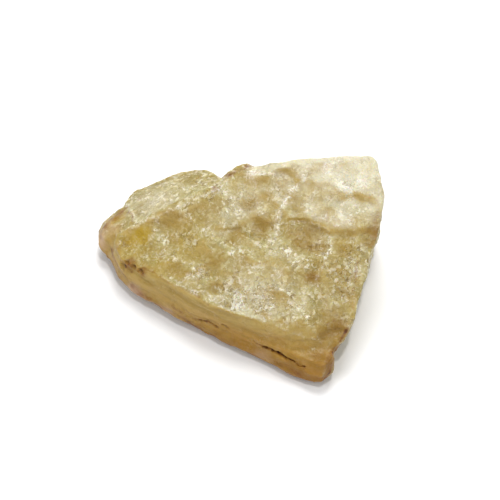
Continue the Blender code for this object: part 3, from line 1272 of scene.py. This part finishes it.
    def _bump(self, nodes: Nodes, place: Value, bent: Value, chips: Value, fibres: Value) -> Value:
        """What is too small for the mesh: raised fibres, and flat chips tilted each its own way.

        Args:
            nodes: The material's nodes.
            place: The places.
            bent: The places as the chips have them.
            chips: The chips, each with a value of its own.
            fibres: The fibres.

        Returns:
            The way that the surface faces.
        """
        gloss_and_sparkle = nodes.painted(Coat.GLOSS)
        lean = nodes.vector("SUBTRACT", chips, (MIDDLE,) * 3)
        offset = nodes.vector("SUBTRACT", bent, chips.other("Position"))
        plane = nodes.vector("DOT_PRODUCT", offset, lean, output="Value")
        tilted = plane * (self.chip_slope * broken_by(self.chip_lean, gloss_and_sparkle))
        calm = left_by(nodes.painted(Coat.FRONT), self.front_calm)
        raised = fibres * (self.fibre_height * MM) * calm * broken_by(self.fibre_strength, gloss_and_sparkle)
        rough = self.fleck.over(nodes, place) * (self.fleck_height * MM)
        return nodes.add("ShaderNodeBump", None, {"Distance": 1.0, "Height": tilted + raised + rough})


@dataclass(frozen=True)
class Surface:
    """The smooth stone's vertices: places in millimetres, the ways they face, and noise at them."""

    places: np.ndarray
    ways: np.ndarray
    slow: np.ndarray
    quick: np.ndarray

    def bent(self, bend: Pair) -> np.ndarray:
        """The places bent by slow and by quick noise, so that nothing on them is round or straight."""
        return self.places + self.slow * bend[0] + self.quick * bend[1]


@dataclass
class Stone:
    """The stone itself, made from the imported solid.

    The front is the long layered side under the broad face. Sizes are in millimetres. A bend
    is how far slow and quick noise push what it is named for. Any other pair runs from the
    value that gives nothing to the value that gives all.
    """

    solid: bpy.types.Object
    camera: PhotoCamera
    marks: BrokenStone = BrokenStone()
    finish: CrystalFinish = CrystalFinish()
    tree: BVHTree | None = field(default=None, init=False)

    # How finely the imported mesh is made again
    voxel: float = 0.25
    doubles: float = 0.001
    smoothing: int = 3

    # Noise
    slow_size: float = 2.2
    quick_size: float = 0.7
    mark_bend: Pair = (0.8, 0.3)
    stain_bend: Pair = (0.4, 0.15)
    vein_bend: Pair = (0.45, 0.45)
    chip_bend: Pair = (0.6, 0.15)
    crumple_bend: Pair = (1.1, 0.0)
    crack_bend: Pair = (0.0, 0.2)

    # The broken surface
    crumple_size: float = 5.0
    crumple_fractal: tuple[float, float, int, float, float] = (0.8, 2.0, 4, 1.0, 1.0)
    crumple_span: Pair = (0.2, 1.7)
    crumple_level: float = 0.6
    crumple_height: float = 0.12
    chips: Chips = Chips(1.3, 0.17, 1.4, (7.9, 2.4, 6.6))
    layers: tuple[Layering, ...] = (Layering(0.10, 9.0, 0.9, 0.0), Layering(0.06, 5.0, 0.4, 7.0))
    front_calm: float = 0.7
    pale_calm: float = 0.6
    vein_height: float = 0.06
    crack_depth: float = 0.5
    pit_depth: float = 0.7

    # Where the front, the upper side and the foot are; the foot is painted in shadow
    front_way: Triple = (-0.50, -0.86, 0.10)
    front_facing: Pair = (0.25, 0.85)
    top_facing: Pair = (0.1, 0.6)
    shade_heights: Pair = (9.5, 3.5)
    tan_run: Pair = (-16.0, 4.0)
    least_tan: float = 0.4
    lowest_heights: Pair = (4.2, 2.6)
    foot_heights: Pair = (1.2, 0.0)

    # Painted shade where the front turns away from the camera under the stone
    turned_strength: float = 0.65
    turned_way: Pair = (0.52, 0.2)
    turned_heights: Pair = (7.0, 5.0)
    turned_facing: Pair = (-0.2, 0.2)

    # Where the stone lies, and is left flat
    base_facing: Pair = (-0.55, -0.85)
    base_heights: Pair = (0.6, 0.1)
    lying_way: float = -0.8
    lying_height: float = 0.12

    # How far round it the surface is levelled, to tell what stands out
    swell_passes: int = 46
    swell_reach: float = 0.22

    def build(self) -> bpy.types.Object:
        """Makes the stone's piece.

        Returns:
            The piece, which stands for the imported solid.
        """
        piece = self._fine_copy()
        bm = bmesh.new()
        bm.from_mesh(piece.data)
        for _ in range(self.smoothing):
            self._smooth(bm)
        bm.normal_update()
        self.tree = BVHTree.FromBMesh(bm)
        surface = self._surface(bm)
        coats = self._coats(surface)
        moved = self._kept_in_box(surface, self._push(surface, coats))
        for vert, place in zip(bm.verts, moved):
            vert.co = Vector(place) * MM
        bm.normal_update()
        coats[Coat.SWELL] = self._swell(bm)
        bm.to_mesh(piece.data)
        bm.free()
        self._paint(piece.data, coats)
        piece.data.materials.clear()
        piece.data.materials.append(self.finish.material())
        return piece

    def _fine_copy(self) -> bpy.types.Object:
        """Copies the solid's mesh, joined up and remeshed finely.

        Returns:
            The piece, still smooth and bare.
        """
        bm = bmesh.new()
        bm.from_mesh(self.solid.data)
        bmesh.ops.remove_doubles(bm, verts=bm.verts, dist=self.doubles * MM)
        mesh = bpy.data.meshes.new("rough_sapphire")
        bm.to_mesh(mesh)
        bm.free()
        piece = bpy.data.objects.new("rough_sapphire", mesh)
        bpy.context.scene.collection.objects.link(piece)
        remesh = piece.modifiers.new("fine", "REMESH")
        remesh.mode = "VOXEL"
        remesh.voxel_size = self.voxel * MM
        graph = bpy.context.evaluated_depsgraph_get()
        fine = bpy.data.meshes.new_from_object(piece.evaluated_get(graph))
        piece.modifiers.clear()
        piece.data = fine
        fine.name = "rough_sapphire"
        return piece

    @staticmethod
    def _smooth(bm: bmesh.types.BMesh) -> None:
        """Smooths every vertex once."""
        bmesh.ops.smooth_vert(
            bm, verts=bm.verts, factor=0.5, use_axis_x=True, use_axis_y=True, use_axis_z=True
        )

    def _surface(self, bm: bmesh.types.BMesh) -> Surface:
        """Reads the vertices, and the noise at them.

        Args:
            bm: The smoothed stone.

        Returns:
            Its surface.
        """
        places = np.array([vert.co for vert in bm.verts]) / MM
        ways = np.array([vert.normal for vert in bm.verts])
        slow, quick = self._warp(places, self.slow_size), self._warp(places, self.quick_size)
        return Surface(places, ways, slow, quick)

    @staticmethod
    def _warp(places: np.ndarray, size: float) -> np.ndarray:
        """Noise along each axis by itself.

        Args:
            places: The places, in millimetres.
            size: The noise's size, in millimetres.

        Returns:
            How far and which way each place is bent where the bend is 1.
        """
        shifts = (Vector((0.0, 0.0, 0.0)), Vector((17.2, 3.6, 8.1)), Vector((4.9, 21.7, 13.3)))
        warped = [[noise.noise(Vector(place) / size + shift) for shift in shifts] for place in places]
        return np.array(warped)

    def _anchors(self, pixels: tuple[Pixel, ...]) -> np.ndarray:
        """Where pixels of the photograph fall on the stone.

        Args:
            pixels: The pixels.

        Returns:
            One place in millimetres for each pixel that isn't beside the stone.
        """
        found = []
        for pixel in pixels:
            hit = self.tree.ray_cast(self.camera.place * MM, self.camera.ray(pixel))[0]
            if hit is not None:
                found.append(hit / MM)
        return np.array(found)

    def _marked(self, marks: tuple[Spot | Line, ...], places: np.ndarray) -> np.ndarray:
        """How strongly any of the marks shows at each place.

        Args:
            marks: The marks.
            places: The places, in millimetres.

        Returns:
            The strongest mark's weight at each place.
        """
        strongest = np.zeros(len(places))
        for mark in marks:
            anchors = self._anchors(mark.pixels)
            if len(anchors):
                strongest = np.maximum(strongest, mark.weights(anchors, places))
        return strongest

    def _coats(self, surface: Surface) -> dict[Coat, np.ndarray]:
        """Works out everything painted but the swell, which depends on the broken surface.

        Args:
            surface: The smooth stone's surface.

        Returns:
            Each coat's weights, one for each vertex.
        """
        marks = self.marks
        bent = surface.bent(self.mark_bend)
        veins = self._marked(marks.veins, surface.bent(self.vein_bend))
        facing = surface.ways @ np.array(self.front_way) / np.linalg.norm(self.front_way)
        front = smoothstep(*self.front_facing, facing)
        tan = self.least_tan + (1.0 - self.least_tan) * smoothstep(*self.tan_run, bent[:, 0])
        foot = smoothstep(*self.foot_heights, surface.places[:, 2])
        return {
            Coat.CRUMPLE: self._crumple(surface.bent(self.crumple_bend)),
            Coat.VEIL: np.maximum(veins, self._marked(marks.frosted, bent)),
            Coat.HOLLOW: self._marked(marks.hollows, bent),
            Coat.DEEP: self._marked(marks.deep, bent),
            Coat.STAIN: self._marked(marks.stains, surface.bent(self.stain_bend)),
            Coat.OCHRE: self._marked(marks.ochre, bent),
            Coat.ROSE: self._marked(marks.rose, bent),
            Coat.PALE: self._marked(marks.pale, bent),
            Coat.GLOSS: self._marked(marks.gloss_and_sparkle, bent),
            Coat.FRONT: front,
            # Upward faces, where the painted glints are stronger
            Coat.TOP: smoothstep(*self.top_facing, surface.ways[:, 2]),
            Coat.SHADE: np.maximum(front, self._marked(marks.tanned, bent)),
            Coat.BELOW: smoothstep(*self.shade_heights, bent[:, 2]) * tan,
            Coat.LOWEST: smoothstep(*self.lowest_heights, bent[:, 2]) * front,
            # Painted shadow along the foot and where the front turns away from the camera
            Coat.FOOT: np.maximum(foot, self._shaded_where_turned_under(surface, facing)),
        }

    def _shaded_where_turned_under(self, surface: Surface, facing: np.ndarray) -> np.ndarray:
        """Painted shade where the front turns away from the camera under the stone.

        Args:
            surface: The smooth stone's surface.
            facing: How squarely each vertex faces the front's way.

        Returns:
            One weight for each vertex.
        """
        way = surface.ways @ np.array(self.camera.axes.col[2])
        low = smoothstep(*self.turned_heights, surface.places[:, 2])
        ahead = smoothstep(*self.turned_facing, facing)
        return self.turned_strength * smoothstep(*self.turned_way, way) * low * ahead

    def _push(self, surface: Surface, coats: dict[Coat, np.ndarray]) -> np.ndarray:
        """Works out how the surface is broken.

        Args:
            surface: The smooth stone's surface.
            coats: Each coat's weights.

        Returns:
            How far each vertex moves outwards, in millimetres.
        """
        marks = self.marks
        bent = surface.bent(self.chip_bend)
        calm = (1.0 - self.front_calm * coats[Coat.FRONT]) * (1.0 - self.pale_calm * coats[Coat.PALE])
        push = (coats[Coat.CRUMPLE] - self.crumple_level) * self.crumple_height * calm
        push -= (self.chips.depths(bent) - 0.5 * self.chips.depth) * calm
        push += self.vein_height * self._marked(marks.veins, surface.bent(self.vein_bend))
        push += coats[Coat.FRONT] * self._layered(bent)
        push -= self.crack_depth * self._marked(marks.cracks, surface.bent(self.crack_bend))
        push -= self.pit_depth * self._marked(marks.pits, surface.places)
        under = smoothstep(*self.base_facing, surface.ways[:, 2])
        return push * (1.0 - under * smoothstep(*self.base_heights, surface.places[:, 2]))

    def _crumple(self, places: np.ndarray) -> np.ndarray:
        """Crumpled ridges round hollow cells.

        Args:
            places: The places, in millimetres.

        Returns:
            From 0 deep in a cell to 1 on a ridge, for each place.
        """
        low, high = self.crumple_span
        ridges = [
            noise.ridged_multi_fractal(Vector(place) / self.crumple_size, *self.crumple_fractal)
            for place in places
        ]
        return np.clip((np.array(ridges) - low) / (high - low), 0.0, 1.0)

    def _layered(self, places: np.ndarray) -> np.ndarray:
        """Fine layers that run along the front, in millimetres outwards."""
        runs = places @ np.array(FRONT_RUN)
        return sum(layering.heights(runs, places[:, 2]) for layering in self.layers)

    def _kept_in_box(self, surface: Surface, push: np.ndarray) -> np.ndarray:
        """Moves the vertices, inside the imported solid's box, and flat where the stone lies.

        Args:
            surface: The smooth stone's surface.
            push: How far each vertex moves outwards, in millimetres.

        Returns:
            The vertices' new places, in millimetres.
        """
        places = surface.places + surface.ways * push[:, None]
        lowest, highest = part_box(self.solid.name)
        kept = np.clip(places, np.array(lowest) / MM, np.array(highest) / MM)
        lying = (surface.ways[:, 2] < self.lying_way) & (places[:, 2] < self.lying_height)
        kept[lying, 2] = 0.0
        return kept

    def _swell(self, bm: bmesh.types.BMesh) -> np.ndarray:
        """How far each vertex stands out of the surface round it.

        Args:
            bm: The broken stone.

        Returns:
            From -1 in a crease to 1 where it swells out, for each vertex.
        """
        sharp = np.array([vert.co for vert in bm.verts]) / MM
        ways = np.array([vert.normal for vert in bm.verts])
        soft = bm.copy()
        for _ in range(self.swell_passes):
            self._smooth(soft)
        smoothed = np.array([vert.co for vert in soft.verts]) / MM
        soft.free()
        return np.clip(((sharp - smoothed) * ways).sum(axis=1) / self.swell_reach, -1.0, 1.0)

    @staticmethod
    def _paint(mesh: bpy.types.Mesh, coats: dict[Coat, np.ndarray]) -> None:
        """Writes the coats on the vertices.

        Args:
            mesh: The stone's mesh.
            coats: Each coat's weights, one for each vertex.
        """
        for coat, weights in coats.items():
            layer = mesh.attributes.new(coat.value, "FLOAT", "POINT")
            layer.data.foreach_set("value", weights.astype(np.float32))


def main() -> None:
    """Builds the studio and the stone."""
    logging.basicConfig(level=logging.INFO)
    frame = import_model()
    camera = PhotoCamera()
    camera.build()
    Studio().build()
    piece = Stone(frame["nodes"]["stone"], camera).build()
    log.info("%s: %d faces", piece.name, len(piece.data.polygons))
    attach(piece, "root")
    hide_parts("stone")


if __name__ == "__main__":
    main()
